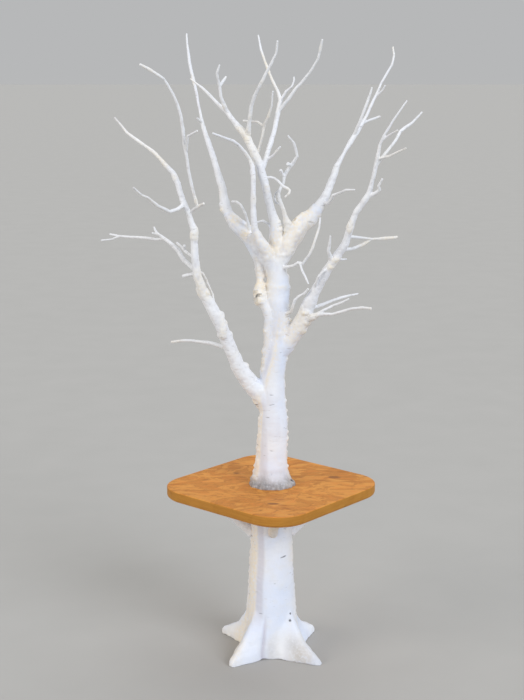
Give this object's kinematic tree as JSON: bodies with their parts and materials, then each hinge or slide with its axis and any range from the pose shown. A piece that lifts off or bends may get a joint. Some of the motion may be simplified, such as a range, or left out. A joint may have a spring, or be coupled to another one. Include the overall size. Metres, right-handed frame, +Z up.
{
  "type": "artificial tree table",
  "caption": "Bare artificial tree with white bark that grows through a small rounded square wooden table, on a trunk with root toes.",
  "frame": {"origin": "on the floor, on the axis of the trunk and of the base plate", "axes": "+Z up along the trunk; +X towards the board's right-hand corner and the right-hand limb, +Y away from the front, so that the board's four corners point along +X, +Y, -X and -Y to within 4 degrees"},
  "size_m": [1.3086, 0.8868, 2.6263],
  "materials": {
    "trunk_skin": "moulded bark skin, brushed white paint with cream filler",
    "limb_bark": "white painted bark with small grey lenticels",
    "twig_bark": "white painted twig",
    "strut_wood": "white painted branch stub",
    "board_wood": "satin oiled mottled hardwood",
    "core_steel": "black primer on mild steel",
    "ballast_iron": "rough cast",
    "pin_steel": "turned",
    "zinc_fasteners": "zinc plated"
  },
  "bodies": {
    "root": {"base_plate": "core_steel", "base_screws": "zinc_fasteners", "ballast_ring": "ballast_iron", "lower_core_tube": "core_steel", "lower_flange": "core_steel", "lower_trunk": "trunk_skin", "strut_right": "strut_wood", "strut_back": "strut_wood", "strut_left": "strut_wood", "strut_front": "strut_wood", "strut_screws": "zinc_fasteners", "tabletop": "board_wood", "flange_bolts": "zinc_fasteners", "flange_washers": "zinc_fasteners", "flange_nuts": "zinc_fasteners", "upper_flange": "core_steel", "upper_core_tube": "core_steel", "upper_trunk": "trunk_skin", "limb_sleeves": "pin_steel", "grub_screws": "zinc_fasteners", "trunk_twig": "twig_bark", "trunk_twig_low": "twig_bark", "curly_twig": "twig_bark", "crotch_twigs": "twig_bark"},
    "left_limb": {"left_limb": "limb_bark", "left_pin": "pin_steel", "left_twig_low": "twig_bark", "left_spray": "twig_bark", "left_runner": "twig_bark", "left_tall_twig": "twig_bark", "left_curl_twig": "twig_bark", "left_spurs": "twig_bark"},
    "right_limb": {"right_limb": "limb_bark", "right_pin": "pin_steel", "right_side_twig": "twig_bark", "right_front_twig": "twig_bark", "right_hook_twig": "twig_bark", "right_loop_twig": "twig_bark", "right_spike": "twig_bark", "right_runner": "twig_bark", "right_low_spray": "twig_bark", "right_low_twig": "twig_bark"},
    "crown_left": {"crown_left_limb": "limb_bark", "crown_left_pin": "pin_steel"},
    "crown_right": {"crown_right_limb": "limb_bark", "crown_right_pin": "pin_steel", "crown_right_strand": "twig_bark", "crown_right_spur": "twig_bark", "crown_right_low_twig": "twig_bark"},
    "crown_centre": {"crown_centre_limb": "limb_bark", "crown_centre_pin": "pin_steel", "centre_fork_twig": "twig_bark", "centre_front_twig": "twig_bark", "centre_hook_twig": "twig_bark", "centre_back_stem": "limb_bark", "centre_back_twig": "twig_bark"},
    "front_stem": {"front_stem": "limb_bark", "front_stem_pin": "pin_steel", "front_stem_twig": "twig_bark"}
  },
  "joints": [
    {"name": "left_limb_turn", "type": "hinge", "parent": "root", "child": "left_limb", "pos_m": [-0.09, -0.016, 1.195], "axis": [-0.572, -0.1989, 0.7958], "range_deg": [-20, 20]},
    {"name": "right_limb_turn", "type": "hinge", "parent": "root", "child": "right_limb", "pos_m": [0.107, -0.03, 1.43], "axis": [0.431, -0.2668, 0.862], "range_deg": [-20, 20]},
    {"name": "crown_left_turn", "type": "hinge", "parent": "root", "child": "crown_left", "pos_m": [-0.18, 0.075, 1.895], "axis": [-0.3313, 0.3313, 0.8835], "range_deg": [-15, 15]},
    {"name": "crown_right_turn", "type": "hinge", "parent": "root", "child": "crown_right", "pos_m": [0.19, 0.02, 1.925], "axis": [0.5932, 0.2472, 0.7662], "range_deg": [-15, 15]},
    {"name": "crown_centre_turn", "type": "hinge", "parent": "root", "child": "crown_centre", "pos_m": [0.01, -0.012, 1.858], "axis": [-0.1952, -0.0976, 0.9759], "range_deg": [-10, 10]},
    {"name": "front_stem_turn", "type": "hinge", "parent": "root", "child": "front_stem", "pos_m": [-0.07, -0.06, 1.845], "axis": [-0.0849, -0.1131, 0.9899], "range_deg": [-4, 8]}
  ]
}
